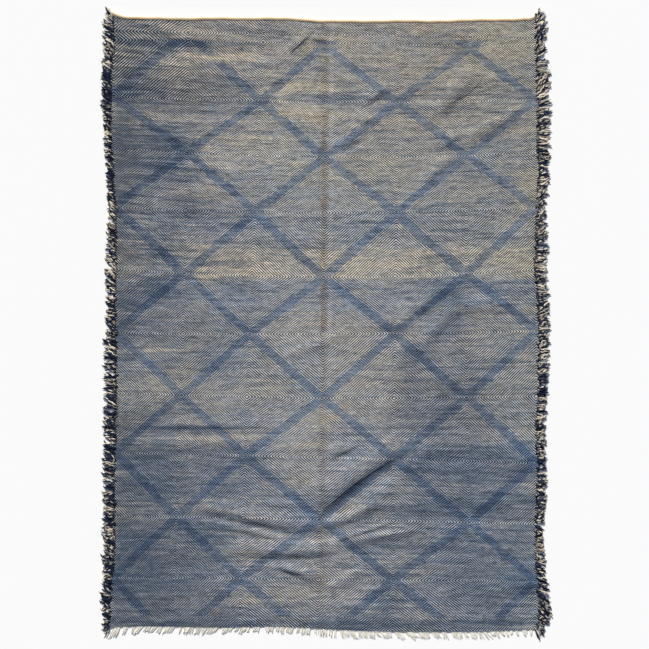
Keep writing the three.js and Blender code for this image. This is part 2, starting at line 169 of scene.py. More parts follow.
# How much of each side's fringe is cream, from foot to head
FRINGE_CREAM = table("y left right", [
    (-1160, 0.18, 0.22), (-1000, 0.20, 0.22), (-800, 0.18, 0.24), (-600, 0.18, 0.38), (-400, 0.24, 0.36),
    (-200, 0.24, 0.42), (-60, 0.24, 0.42), (60, 0.24, 0.50), (150, 0.28, 0.64), (290, 0.24, 0.60),
    (340, 0.26, 0.38), (520, 0.26, 0.44), (700, 0.28, 0.48), (820, 0.24, 0.52), (850, 0.02, 0.62),
    (960, 0.02, 0.60), (985, 0.24, 0.38), (1100, 0.28, 0.44), (1180, 0.36, 0.40),
])

# The folds: from, by and to are points on the crest, height is how far it lifts, and left and right are the
# widths of its two slopes, seen along the crest.
FOLDS = table("from_x from_y by_x by_y to_x to_y height left right", [
    # the long diagonal fold, steep on its lower side, and the soft rise beyond its valley
    (-50, -712, 80, -596, 296, -443, 20, 100, 58),
    (98, -716, 178, -656, 290, -578, 9, 36, 70),
    (327, -530, 372, -485, 418, -450, 5, 28, 50),
    # the swag that runs across under it
    (-510, -672, -258, -736, 10, -772, 13, 54, 38),
    (-50, -764, 72, -733, 175, -690, 9, 28, 36),
    (110, -697, 224, -686, 433, -701, 6, 24, 32),
    # ripples below the swag
    (-440, -762, -289, -782, -140, -826, 8, 20, 22),
    (-370, -838, -129, -859, 80, -834, 14, 44, 38),
    (30, -813, 110, -798, 265, -742, 6, 18, 12),
    (80, -825, 190, -802, 400, -774, 8, 16, 36),
    (-230, -915, -129, -935, -10, -950, 6, 28, 14),
    (-210, -903, -106, -946, -10, -984, 5, 40, 10),
    (-5, -995, 80, -954, 165, -914, 6, 13, 46),
    (418, -845, 471, -807, 524, -777, 4, 32, 24),
    # soft ridges in the middle, right of the centre
    (0, -500, 61, -477, 130, -456, 9, 42, 24),
    (281, -51, 258, -190, 216, -382, 9, 86, 44),
    (479, -135, 441, -256, 376, -400, 6, 70, 55),
    (403, 142, 380, 97, 346, 48, 4, 28, 22),
    (517, 173, 384, 85, 236, -21, 5, 34, 50),
    (775, 44, 604, 70, 433, 40, 8, 34, 50),
    (486, 66, 426, -2, 350, -82, 8, 40, 34),
    # folds in the upper right
    (403, 768, 479, 865, 574, 967, 10, 60, 38),
    (418, 663, 479, 705, 547, 747, 6, 40, 20),
    (502, 705, 623, 762, 745, 815, 8, 22, 60),
    (345, 511, 426, 595, 479, 637, 5, 42, 28),
    (38, 659, 91, 694, 156, 732, 8, 46, 26),
    (46, 625, 110, 655, 186, 694, 4, 24, 40),
    (125, 849, 198, 878, 262, 914, 6, 36, 26),
    (84, 743, 167, 773, 251, 800, 3, 36, 26),
    # small creases near the head and on the left
    (-164, 1028, -103, 1074, -45, 1115, 4, 24, 16),
    (-68, 1077, -23, 1089, 23, 1077, 3, 20, 16),
    (-676, 754, -566, 720, -471, 678, 4, 36, 26),
    (-467, 629, -403, 591, -338, 560, 4, 32, 24),
    (-190, -131, -46, -85, 80, -25, 4, 28, 20),
    (-752, -410, -479, -382, -182, -410, 3, 38, 26),
    (-740, -470, -500, -452, -240, -462, 2.5, 24, 50),
])
CREST_STEPS = 20

# Sharp creases, as thin lines of painted shade: three points on each, and how dark it is.
# Painted shade also falls to its right.
CREASES = table("from_x from_y by_x by_y to_x to_y depth", [
    (-141, 1020, -99, 1062, -57, 1100, 1.0),
    (-57, 1085, -27, 1077, 4, 1081, 0.8),
    (129, 819, 177, 842, 217, 866, 0.7),
    (167, 842, 205, 876, 232, 891, 0.6),
    (460, 834, 545, 880, 600, 946, 0.7),
    (-198, 918, -177, 915, -156, 914, 0.6),
    (-194, -910, -110, -960, -19, -988, 0.6),
    (175, -819, 243, -800, 338, -785, 0.6),
    (-34, -732, 115, -604, 300, -492, 1.0),
    (15, -519, 61, -492, 148, -447, 0.6),
    (-365, -713, -270, -750, -175, -781, 0.6),
])
CREASE_REACH = 40.0

# Brown specks and stains: place, radius and strength
STAINS = table("x y radius strength", [
    (175, -13, 8, 0.9), (361, -21, 7, 0.8), (72, -306, 8, 0.8), (-429, -1092, 9, 0.7), (-441, -921, 8, 0.7),
    (-19, 470, 12, 0.5), (-16, 448, 8, 0.6), (-90, 445, 6, 0.4), (470, 1012, 5, 0.5), (330, 1020, 5, 0.4),
])
STAIN_ASPECT = 1.4  # a stain's length along the weft to its height

# Where the corners of the lattice of diamonds lie: x of its columns near the head, the middle and the foot,
# and y of its rows at the left, the middle and the right
LATTICE_COLUMNS = table("head middle foot", [
    (-809, -798, -809), (-524, -543, -578), (-239, -289, -323), (-4, -11, -30),
    (274, 262, 255), (547, 532, 551), (794, 798, 794),
])
COLUMN_PLACES = (1054.0, -32.0, -971.0)
LATTICE_ROWS = table("left middle right", [
    (1150, 1058, 1054), (864, 846, 853), (671, 636, 652), (446, 424, 443), (211, 180, 207), (-32, -36, -25),
    (-260, -279, -272), (-488, -504, -526), (-728, -739, -758), (-960, -967, -975), (-1199, -1206, -1210),
])
ROW_PLACES = (-809.0, -8.0, 794.0)

# The twill turns about twice more near the head, at these y in the middle and along rows that fall to the
# right
HEAD_TURNS = (1068.0, 1101.0)
HEAD_TURN_SLOPE = -0.0158

# Stretches of the cloth made darker or lighter, bluer or browner: streaks of uneven dye along the weft, broad
# parts, and a few rows of painted shade beside folds. dark and warm run from -1 to 1, and cream says how much
# more of the warp shows. soft_x and soft_y are the widths of its soft edges.
DYE_AND_SHADE_STRETCHES = table("left right foot head soft_x soft_y dark warm cream", [
    # broad parts: the left side, the foot, the middle
    (-840, -560, -1170, 1180, 90, 60, 0.4, 0.05, 0),
    (-840, 840, -1180, -640, 200, 120, 0.3, -0.3, 0),
    (-840, 840, -640, -330, 200, 120, 0.08, -0.3, 0),
    (-270, 250, -430, 1100, 140, 90, -0.22, 0, 0.03),
    (330, 830, 560, 1170, 90, 120, -0.08, 0.25, 0),
    (-840, -735, -40, 1170, 50, 60, 0.45, 0.4, 0),
    (-840, -735, -1150, -330, 50, 60, 0.35, 0.35, 0),
    (740, 840, 120, 800, 40, 60, 0, 0.35, 0),
    (-150, 30, -350, -10, 40, 30, 0, -0.45, 0),
    (90, 340, 450, 800, 50, 40, 0, 0.3, 0),
    (-700, 300, -1090, -1000, 80, 20, 0, 0.25, 0),
    (-620, -470, 520, 720, 50, 40, 0.3, -0.15, 0),
    (-700, -520, 130, 320, 50, 40, 0.3, 0, 0),
    (60, 340, -1000, -940, 50, 30, 0.35, 0, 0),
    (-60, 40, 830, 890, 40, 20, 0.4, -0.1, 0),
    (-840, -430, -1180, 1180, 80, 100, 0, 0.35, 0),
    (-840, 840, 850, 1180, 200, 40, 0, 0.35, 0),
    (-590, -480, 640, 720, 40, 30, 0.45, 0, 0),
    (-600, -480, 200, 250, 40, 20, 0.45, 0, 0),
    (-720, -600, 120, 180, 50, 24, 0.5, 0.1, 0),
    (-840, -730, -150, -60, 40, 24, 0.55, 0, 0),
    (180, 300, -50, 10, 40, 24, 0.5, 0, 0),
    (280, 380, -140, -70, 40, 24, 0.45, 0, 0),
    (720, 820, -1020, -920, 40, 30, 0.5, 0, 0),
    (170, 270, -1090, -1010, 40, 30, 0.5, -0.2, 0),
    # left to right, from the head to the foot of the rug
    (560, 810, 1000, 1130, 60, 30, -0.35, 0.2, 0),
    # darker weft together with the painted shade of a fold
    (-150, 160, 845, 885, 60, 12, 0.65, -0.1, -0.05),
    (640, 810, 845, 885, 60, 12, 0.5, 0, -0.05),
    (-220, 20, 775, 830, 60, 14, -0.4, 0.22, 0.08),
    (500, 600, 680, 720, 50, 20, -0.45, 0.1, 0),
    (-160, -70, 525, 570, 30, 18, -0.6, 0.1, 0),
    (280, 370, 460, 570, 40, 30, -0.5, 0.1, 0),
    (700, 830, 430, 550, 40, 30, -0.6, 0.3, 0),
    (-590, -430, 370, 480, 50, 24, 0.6, 0, 0),
    # these two paint the shade of the folds right of the middle
    (370, 540, -80, 180, 50, 40, 0.5, -0.1, 0),
    (280, 620, -440, -130, 60, 60, 0.45, 0.2, 0),
    (-700, -430, -260, -160, 50, 30, -0.45, 0.1, 0),
    (-200, 0, -560, -300, 60, 40, -0.35, -0.1, 0),
    (80, 150, -515, -470, 30, 14, 0.5, 0, 0),
    (300, 830, -740, -640, 60, 16, 0.6, 0.1, 0),
    (100, 350, -900, -800, 50, 30, 0.45, -0.1, 0),
    (-340, -200, -1070, -1030, 40, 14, -0.35, 0.1, 0),
    (-810, -300, 1052, 1082, 90, 8, 0.25, -0.2, -0.05),
    (-600, -450, 1054, 1080, 30, 6, 0.5, -0.5, -0.05),
    (-650, -230, 985, 1028, 60, 8, -0.25, 0.35, 0.25),
    (-810, -350, 826, 972, 110, 26, 0.35, -0.2, -0.06),
    (-215, 30, 835, 912, 50, 16, -0.3, 0.25, 0.18),
    (-820, -590, 590, 760, 60, 20, 0.45, -0.25, -0.06),
    (-480, -90, 560, 740, 80, 40, -0.05, 0.2, 0.08),
    (-820, 400, 300, 600, 120, 60, 0.1, -0.3, 0),
    (390, 800, 560, 700, 80, 40, 0.1, -0.2, 0),
    (-520, 820, 176, 292, 120, 10, -0.08, 0.5, 0.1),
    (-820, 820, 60, 170, 500, 16, 0.1, -0.55, -0.02),
    (-800, -290, -250, 130, 80, 60, 0.2, -0.35, -0.02),
    (-820, -520, -105, -92, 40, 4, -0.5, 0.5, 0.2),
    (-740, -210, -398, -388, 60, 4, 0.6, -0.1, -0.15),
    (-740, -210, -432, -422, 60, 4, -0.4, 0.3, 0.2),
    (-820, -300, -670, -440, 110, 26, 0.28, -0.2, -0.03),
    (300, 810, -595, -455, 60, 16, 0.42, -0.45, -0.08),
    (-320, 300, -1090, -740, 120, 60, -0.18, 0.2, 0.06),
    (-820, -400, -1090, -740, 90, 60, 0.22, -0.3, -0.02),
    (420, 820, -1100, -760, 90, 60, 0.22, -0.3, -0.02),
    (-840, 840, -1170, -1120, 300, 10, 0.45, -0.25, -0.1),
    (-22, 4, -1100, 1060, 9, 60, 0.12, 0.4, -0.06),
    # small darker and lighter patches
    (350, 540, 205, 262, 40, 14, 0.55, 0.05, 0),
    (-200, 20, 780, 830, 50, 14, -0.35, 0, 0),
    (-500, -60, 60, 150, 60, 24, -0.2, 0, 0),
    (-140, 90, -400, -130, 50, 40, -0.22, 0, 0),
    (-810, -620, -260, -60, 50, 30, -0.4, 0, 0),
    (-720, -600, -200, 100, 40, 30, -0.1, 0, 0),
    (-460, -330, 200, 250, 40, 14, 0.4, 0, 0),
    (-460, -340, 640, 730, 40, 20, 0.35, 0, 0),
    (-520, -380, -430, -380, 40, 14, 0.4, 0, 0),
    (-560, -330, -860, -720, 50, 24, 0.35, 0, 0),
    (-40, 120, -780, -700, 40, 24, -0.4, 0, 0),
    (620, 800, 160, 480, 40, 40, -0.22, 0, 0),
    (720, 800, 430, 520, 30, 30, -0.2, 0, 0),
    (-270, 90, 490, 570, 60, 24, -0.25, 0, 0),
    (-180, -70, 830, 880, 40, 16, 0.35, 0, 0),
])


def column(values, along, name):
    """A smooth curve through one column of a table, as a function of the place along it."""
    places, heights = values[along], values[name]
    count = len(places)

    def at(where):
        where = np.clip(np.asarray(where, float), places[0], places[-1])
        last = np.clip(np.searchsorted(places, where, side="right"), 1, count - 1)
        first = last - 1
        t0, t1 = places[first], places[last]
        half = 0.5 * (t1 - t0)
        before = np.where(first > 0, first - 1, last)
        after = np.where(last < count - 1, last + 1, first)
        w_before = half / (t0 - places[before])
        w_after = half / (places[after] - t1)
        p = (where - t0) / (t1 - t0)
        p2 = p * p
        p3 = p2 * p
        return (
            (-w_before * p3 + 2 * w_before * p2 - w_before * p) * heights[before]
            + ((1 + w_before) * p3 + (-1.5 - 2 * w_before) * p2 + (w_before - 0.5) * p + 1) * heights[first]
            + ((-1 - w_after) * p3 + (1.5 + w_after) * p2 + 0.5 * p) * heights[last]
            + (w_after * p3 - w_after * p2) * heights[after]
        )

    return at


left_edge = column(SIDES, "y", "left")
right_edge = column(SIDES, "y", "right")
head_edge = column(HEAD, "x", "y")
foot_edge = column(FOOT, "x", "y")


def eased(share):
    """A share from 0 to 1, smooth where it starts and ends."""
    share = np.clip(share, 0, 1)
    return share * share * (3 - 2 * share)


def soft_noise(x, y, size_x, size_y, seed):
    """Smooth noise from -1 to 1 with lumps of about the given size."""
    wide = 97
    cells = np.random.default_rng(seed).uniform(-1, 1, (wide, wide))
    u, v = x / size_x + 40.0, y / size_y + 40.0
    i, j = np.floor(u).astype(int), np.floor(v).astype(int)
    fu, fv = eased(u - i), eased(v - j)
    a, b = cells[i % wide, j % wide], cells[(i + 1) % wide, j % wide]
    c, d = cells[i % wide, (j + 1) % wide], cells[(i + 1) % wide, (j + 1) % wide]
    return (a * (1 - fu) + b * fu) * (1 - fv) + (c * (1 - fu) + d * fu) * fv


def three_points(lines, row):
    """A fold or a crease: a bent line through its three points."""
    ends = [np.array([lines[p + "_x"][row], lines[p + "_y"][row]]) for p in ("from", "by", "to")]
    bend = 2 * ends[1] - 0.5 * (ends[0] + ends[2])
    t = np.linspace(0, 1, CREST_STEPS + 1)[:, None]
    return (1 - t) ** 2 * ends[0] + 2 * t * (1 - t) * bend + t ** 2 * ends[2]


def nearest_on(line, x, y):
    """How far points are from a line, where along it, from 0 to 1, the nearest place is, and which points are
    to its left."""
    points = np.stack([x, y], -1)
    best = np.full(len(x), np.inf)
    along = np.zeros(len(x))
    on_left = np.zeros(len(x), bool)
    for k in range(CREST_STEPS):
        step = line[k + 1] - line[k]
        away = points - line[k]
        share = np.clip(away @ step / (step @ step), 0, 1)
        off = np.linalg.norm(away - share[:, None] * step, axis=1)
        closer = off < best
        best = np.where(closer, off, best)
        along = np.where(closer, (k + share) / CREST_STEPS, along)
        on_left = np.where(closer, step[0] * away[:, 1] - step[1] * away[:, 0] > 0, on_left)
    return best, along, on_left


def lift(x, y):
    """How far the cloth is lifted off the floor at each point."""
    total = np.zeros_like(x)
    for row in range(len(FOLDS["height"])):
        crest = three_points(FOLDS, row)
        left, right = FOLDS["left"][row], FOLDS["right"][row]
        low = crest.min(0) - max(left, right)
        high = crest.max(0) + max(left, right)
        near = np.nonzero((x > low[0]) & (x < high[0]) & (y > low[1]) & (y < high[1]))[0]
        off, along, on_left = nearest_on(crest, x[near], y[near])
        slope = np.minimum(off / np.where(on_left, left, right), 1)
        run = np.maximum(1 - (2 * along - 1) ** 2, 0) ** 0.8
        total[near] += FOLDS["height"][row] * run * (1 - slope ** 2) ** 2
    return total


def crease_shade_and_stains(x, y):
    """Distance to the nearest crease at each point, how dark its painted shade is there, and how stained each
    point is.
    """
    nearest = np.full(len(x), CREASE_REACH)
    depth = np.zeros(len(x))
    for row in range(len(CREASES["depth"])):
        off, along, on_left = nearest_on(three_points(CREASES, row), x, y)
        closer = off < np.abs(nearest)
        nearest = np.where(closer, np.where(on_left, -off, off), nearest)
        run = np.sqrt(np.maximum(1 - (2 * along - 1) ** 2, 0))
        depth = np.where(closer, CREASES["depth"][row] * run, depth)
    stain = np.zeros(len(x))
    for k in range(len(STAINS["x"])):
        off = np.hypot(x - STAINS["x"][k], (y - STAINS["y"][k]) * STAIN_ASPECT)
        stain = np.maximum(stain, STAINS["strength"][k] * np.exp(-(off / STAINS["radius"][k]) ** 2))
    return nearest, depth, stain


def through_three(places, values, at):
    """The parabola through three values."""
    (a, b, c), (p, q, r) = places, values
    return (
        p * (at - b) * (at - c) / ((a - b) * (a - c))
        + q * (at - a) * (at - c) / ((b - a) * (b - c))
        + r * (at - a) * (at - b) / ((c - a) * (c - b))
    )


def lattice_place(x, y):
    """Where points lie in the lattice, counted in its columns from the left and its rows from the head."""
    def count_lines(lines, at):
        steps = np.diff(lines, axis=0)
        place = (at - lines[0]) / steps[0]
        for k in range(1, len(steps)):
            inside = (at - lines[k]) / steps[k]
            place = np.where(inside > 0, k + inside, place)
        return place

    columns = np.stack([
        through_three(COLUMN_PLACES, [LATTICE_COLUMNS[n][k] for n in ("head", "middle", "foot")], y)
        for k in range(len(LATTICE_COLUMNS["head"]))
    ])
    rows = np.stack([
        through_three(ROW_PLACES, [LATTICE_ROWS[n][k] for n in ("left", "middle", "right")], x)
        for k in range(len(LATTICE_ROWS["left"]))
    ])
    return count_lines(columns, x), count_lines(rows, y)


def stretch_tones(x, y):
    """dark, warm and cream at each point, with ragged ends along the weft."""
    tones = np.zeros((3, len(x)))
    for k in range(len(DYE_AND_SHADE_STRETCHES["left"])):
        row = {name: values[k] for name, values in DYE_AND_SHADE_STRETCHES.items()}
        ragged = soft_noise(x, y, 400, 9, 300 + k) * row["soft_x"] * 0.8
        wavy = soft_noise(x, y, 90, 60, 400 + k) * row["soft_y"] * 0.5
        inside_x = np.minimum(x - row["left"] + ragged, row["right"] - x + ragged) / row["soft_x"]
        inside_y = np.minimum(y - row["foot"] + wavy, row["head"] - y - wavy) / row["soft_y"]
        share = eased(np.clip(inside_x * 0.5 + 0.5, 0, 1) * np.clip(inside_y * 0.5 + 0.5, 0, 1))
        tones += share * np.array([[row["dark"]], [row["warm"]], [row["cream"]]])
    return tones


def new_mesh(name, points, faces, uvs=None):
    """A mesh object of points in millimetres, smooth but at its sharp edges."""
    mesh = bpy.data.meshes.new(name)
    placed = (np.asarray(points) + (*SHIFT, 0.0)) * MM
    mesh.from_pydata(placed.tolist(), [], faces)
    mesh.polygons.foreach_set("use_smooth", np.ones(len(mesh.polygons), bool))
    if uvs is not None:
        layer = mesh.uv_layers.new(name="OFBake")
        layer.uv.foreach_set("vector", np.asarray(uvs, np.float32).ravel())
    mesh.set_sharp_from_angle(angle=math.radians(SHARP_ANGLE))
    mesh.update()
    thing = bpy.data.objects.new(name, mesh)
    bpy.context.scene.collection.objects.link(thing)
    return thing


def point_values(thing, name, values):
    """Stores a vector at each of a mesh's points for its material to read."""
    layer = thing.data.attributes.new(name, "FLOAT_VECTOR", "POINT")
    layer.data.foreach_set("vector", np.ascontiguousarray(values, np.float32).ravel())


def sheet_points(columns, rows):
    """The x and y of a grid on the cloth, foot to head and left to right."""
    heights = np.interp(np.linspace(0, 1, rows + 1), ROW_SHARES, ROW_HEIGHTS)
    across, up = np.meshgrid(np.linspace(0, 1, columns + 1), heights)
    guide = HEAD["x"][0] + across * (HEAD["x"][-1] - HEAD["x"][0])
    low, high = foot_edge(guide), head_edge(guide)
    y = low + up * (high - low)
    low, high = left_edge(y), right_edge(y)
    return (low + across * (high - low)).ravel(), y.ravel()


def make_cloth():
    """The rug's woven sheet: a fine grid above, one half as fine below, and their rims joined."""
    top_x, top_y = sheet_points(COLUMNS, ROWS)
    low_x, low_y = sheet_points(COLUMNS // 2, ROWS // 2)
    uneven = UNEVENNESS * (
        0.6 * soft_noise(top_x, top_y, 70, 24, 1)
        + 0.5 * soft_noise(top_x, top_y, 26, 26, 2)
        + 0.3 * soft_noise(top_x, top_y, 16, 12, 3)
    )
    top_z = CLOTH_THICKNESS + lift(top_x, top_y) + uneven
    low_z = lift(low_x, low_y)
    points = np.concatenate([
        np.stack([top_x, top_y, top_z], -1),
        np.stack([low_x, low_y, low_z], -1),
    ])

    wide, tall = COLUMNS + 1, ROWS + 1
    top = np.arange(wide * tall).reshape(tall, wide)
    low = wide * tall + np.arange((COLUMNS // 2 + 1) * (ROWS // 2 + 1)).reshape(ROWS // 2 + 1, -1)
    above = np.stack([top[:-1, :-1], top[:-1, 1:], top[1:, 1:], top[1:, :-1]], -1).reshape(-1, 4)
    below = np.stack([low[:-1, :-1], low[1:, :-1], low[1:, 1:], low[:-1, 1:]], -1).reshape(-1, 4)

    # the rims, walked with the cloth on the left: foot, right, head, left
    top_rim = np.concatenate([top[0, :-1], top[:-1, -1], top[-1, :0:-1], top[:0:-1, 0]])
    low_rim = np.concatenate([low[0, :-1], low[:-1, -1], low[-1, :0:-1], low[:0:-1, 0]])
    walls = []
    for k in range(len(low_rim)):
        a, b = low_rim[k], low_rim[(k + 1) % len(low_rim)]
        c, d = top_rim[2 * k], top_rim[2 * k + 1]
        e = top_rim[(2 * k + 2) % len(top_rim)]
        walls += [(a, d, c), (a, b, d), (b, e, d)]
    walls = np.array(walls)

    # the face fills most of the bake's square, the underside a strip beside it, the rims a line between
    across, up = ((place - place.min()) / np.ptp(place) for place in points[:, :2].T)
    rims_up = np.repeat(np.arange(len(walls)) / len(walls), 3)
    u = [start + width * across[faces.ravel()]
         for (start, width), faces in ((FACE_ACROSS, above), (UNDERSIDE_ACROSS, below))]
    v = np.concatenate([up[above.ravel()], up[below.ravel()], rims_up])
    uvs = np.stack([np.concatenate([*u, np.tile(RIM_ACROSS, len(walls))]), CLOTH_UP[0] + CLOTH_UP[1] * v], -1)
    cloth = new_mesh("rug_cloth", points, above.tolist() + below.tolist() + walls.tolist(), uvs)

    u, v = lattice_place(points[:, 0], points[:, 1])
    is_low = (np.arange(len(points)) >= wide * tall).astype(float)
    point_values(cloth, "lattice", np.stack([u, v, is_low], -1))
    first, second = (lattice_place(points[:, 0], y + HEAD_TURN_SLOPE * points[:, 0])[1] for y in HEAD_TURNS)
    point_values(cloth, "turns", np.stack([first, first - second, np.zeros_like(first)], -1))
    point_values(cloth, "tones", stretch_tones(points[:, 0], points[:, 1]).T)
    point_values(cloth, "shade_and_stains", np.stack(crease_shade_and_stains(points[:, 0], points[:, 1]), -1))
    return cloth


def make_strands(name, paths, radii, turns, sides, tints, lobes=0.22):
    """Many yarn ends as one mesh. paths is strands by steps by 3, radii and turns are strands by steps, and
    tints is strands by 3: cream or not, chance, and whether its plies are one of each. Each yarn is of two
    plies, so its section has two lobes that turn along it."""
    strands, steps = radii.shape
    along = np.gradient(paths, axis=1)
    along /= np.linalg.norm(along, axis=2, keepdims=True)
    aside = np.cross(along, (0.0, 0.0, 1.0))
    aside /= np.linalg.norm(aside, axis=2, keepdims=True)
    rise = np.cross(aside, along)
    angle = np.arange(sides) * 2 * math.pi / sides
    from_ply = angle - turns[..., None]
    ring = radii[..., None] * (1 + lobes * np.cos(2 * from_ply))
    points = (
        paths[:, :, None]
        + (ring * np.cos(angle))[..., None] * aside[:, :, None]
        + (ring * np.sin(angle))[..., None] * rise[:, :, None]
    )
    number = np.arange(strands * steps * sides).reshape(strands, steps, sides)
    here, after = number, np.roll(number, -1, axis=2)
    quads = np.stack([here[:, :-1], here[:, 1:], after[:, 1:], after[:, :-1]], -1)
    faces = quads.reshape(-1, 4).tolist() + number[:, 0].tolist() + number[:, -1, ::-1].tolist()

    cells = math.ceil(math.sqrt(strands))

    def in_cells(u, v):
        """UVs at a place from 0 to 1 in each strand's own cell of the bake's square."""
        strand = np.arange(strands).reshape((strands,) + (1,) * u.ndim)
        return np.stack([(strand % cells + u) / cells, (strand // cells + v) / cells], -1).reshape(-1, 2)

    s, k = np.meshgrid(np.arange(sides), np.arange(steps - 1))
    corner_u = CELL_EDGE + CELL_FILL * np.stack([s, s, s + 1, s + 1], -1) / sides
    corner_v = CELL_EDGE + CELL_FILL * np.stack([k, k + 1, k + 1, k], -1) / (steps - 1)
    rim_u = CELL_EDGE + CELL_FILL * np.arange(sides) / sides
    uvs = [in_cells(corner_u, corner_v)] + [in_cells(rim_u, np.full(sides, end)) for end in CELL_ENDS]
    thing = new_mesh(name, points.reshape(-1, 3), faces, np.concatenate(uvs))

    # a yarn of mixed plies is cream on one side only
    is_cream = np.where(tints[:, 2, None, None] > 0.5, np.cos(from_ply) > 0, tints[:, 0, None, None])
    chance = np.broadcast_to(tints[:, 1, None, None], is_cream.shape)
    place = np.broadcast_to(np.linspace(0, 1, steps)[None, :, None], is_cream.shape)
    point_values(thing, "yarn", np.stack([is_cream, chance, place], -1).reshape(-1, 3))
    return thing


def make_side_fringe(name, side, seed):
    """The weft ends along one side: two or three deep, navy and cream by turns."""
    rng = np.random.default_rng(seed)
    sign = -1.0 if side == "left" else 1.0
    edge = left_edge if side == "left" else right_edge
    reach = column(SIDES, "y", side + "_out")
    lean = column(SIDES, "y", side + "_lean")
    corner_x = HEAD["x"][0] if side == "left" else HEAD["x"][-1]
    low_y = float(foot_edge(corner_x)) - 4
    high_y = float(head_edge(corner_x)) - 2
    n = SIDE_STRANDS
    each = (n, 1)
    y = low_y + (np.arange(n)[:, None] + rng.uniform(0.1, 0.9, each)) / n * (high_y - low_y)
    layer = np.tile([0, 2, 1], n // 3 + 1)[:n, None]

    # each end's course over the floor: it leans, curls, hooks at its tip and kinks
    angle = np.radians(lean(y) + rng.normal(0, 16, each) + 9 * np.sin(y / 23.0 + rng.uniform(0, 1)))
    angle = np.clip(angle, -SIDE_MOST_LEAN, SIDE_MOST_LEAN)
    inset = rng.uniform(1, 12, each) + 1.5 * layer
    length = reach(y) * rng.uniform(0.70, 1.10, each) / np.cos(angle * 0.80) + inset
    length *= np.where(layer == 2, 0.90, 1.0)
    t = np.linspace(0, 1, SIDE_STEPS)
    curl = rng.normal(0, 0.75, each) * (t - 0.5)
    hook = rng.normal(0, 0.8, each) * np.clip(t - 0.6, 0, 1) ** 2 * 4
    kinks = rng.normal(0, 0.40, each)
    kinks = kinks * np.sin(t * length * 2 * math.pi / SIDE_KINK_LENGTH + rng.uniform(0, 6, each))
    heading = angle + curl + hook + kinks
    step = length / (SIDE_STEPS - 1)

    def travelled(part):
        """How far the yarn has come at each of its steps, from 0 at its root."""
        return np.cumsum(np.concatenate([np.zeros(each), part[:, 1:] * step], 1), axis=1)

    run, climb = travelled(np.cos(heading)), travelled(np.sin(heading))
    radius = SIDE_YARN_RADIUS * rng.uniform(0.82, 1.18, each)
    radii = radius * (0.92 + 0.12 * np.sin(t * 9 + rng.uniform(0, 6, each)))
    radii = radii * np.where(t > 0.93, 0.55, 1.0) * np.where(t < 0.05, 0.7, 1.0)

    # from the cloth's edge down to the floor, or onto the layer below
    rest = radius * 1.05 + layer * 2.1 * rng.uniform(0.6, 1.1, each)
    root = CLOTH_THICKNESS - 0.6 + 0.8 * layer
    z = root + (rest - root) * eased((run - inset) / SIDE_FALL)
    z = z + 1.6 * layer * np.sin(t * math.pi) * rng.uniform(0, 1, each)
    z = np.maximum(z, radius * 1.30)
    paths = np.stack([edge(y) + sign * (run - inset), y + climb, z], -1)
    turns = rng.uniform(0, 6, each) + np.cumsum(np.repeat(step, SIDE_STEPS, 1), 1) * 2 * math.pi / SIDE_TWIST
    cream = np.interp(y, FRINGE_CREAM["y"], FRINGE_CREAM[side]) > rng.uniform(0, 1, each)
    mixed = rng.uniform(0, 1, each) < SIDE_MIXED_SHARE
    tints = np.concatenate([cream, rng.uniform(0, 1, each), mixed], 1)
    return make_strands(name, paths, radii, turns, 8, tints)


def make_foot_fringe(name, seed):
    """The warp ends along the foot, thin and pale, in small clumps."""
    rng = np.random.default_rng(seed)
    left, right = float(left_edge(FOOT["y"][0])), float(right_edge(FOOT["y"][-1]))
    pitch = (right - left - 8) / FOOT_CLUMPS
    clump = left + 4 + (np.arange(FOOT_CLUMPS) + rng.uniform(0.2, 0.8, FOOT_CLUMPS)) * pitch
    clump_lean = column(FOOT_ENDS, "x", "lean")(clump) + rng.normal(0, 9, FOOT_CLUMPS)
    clump_reach = column(FOOT_ENDS, "x", "out")(clump) * rng.uniform(0.75, 1.12, FOOT_CLUMPS)
    middle, own_lean, own_reach = (
        np.repeat(values, FOOT_CLUMP_STRANDS)[:, None] for values in (clump, clump_lean, clump_reach)
    )
    each = middle.shape
    root_x = middle + rng.uniform(-0.5, 0.5, each) * pitch * 0.92
    angle = np.radians(own_lean + rng.normal(0, 6, each))
    length = own_reach * rng.uniform(0.7, 1.08, each) / np.cos(angle) + FOOT_INSET
    t = np.linspace(0, 1, FOOT_STEPS)
    drawn_in = (middle - root_x) * 0.45 * np.sin(t * math.pi / 2)
    bow = rng.normal(0, 1.6, each) * np.sin(t * math.pi)
    x = root_x + drawn_in + bow + np.sin(angle) * length * t
    y = foot_edge(root_x) + FOOT_INSET - np.cos(angle) * length * t
    radius = FOOT_YARN_RADIUS * rng.uniform(0.8, 1.25, each)
    radii = radius * np.where(t > 0.9, 0.6, 0.6 + 0.6 * np.clip(t * 2, 0, 1))
    rest = radius * 1.25 + rng.uniform(0, 1.6, each)
    z = FOOT_ROOT_HEIGHT + (rest - FOOT_ROOT_HEIGHT) * eased((foot_edge(root_x) - y) / FOOT_FALL)
    turns = rng.uniform(0, 6, each) + t * length * 2 * math.pi / FOOT_TWIST
    tints = np.concatenate([np.ones(each), rng.uniform(0, 1, each), np.zeros(each)], 1)
    return make_strands(name, np.stack([x, y, z], -1), radii, turns, 6, tints)


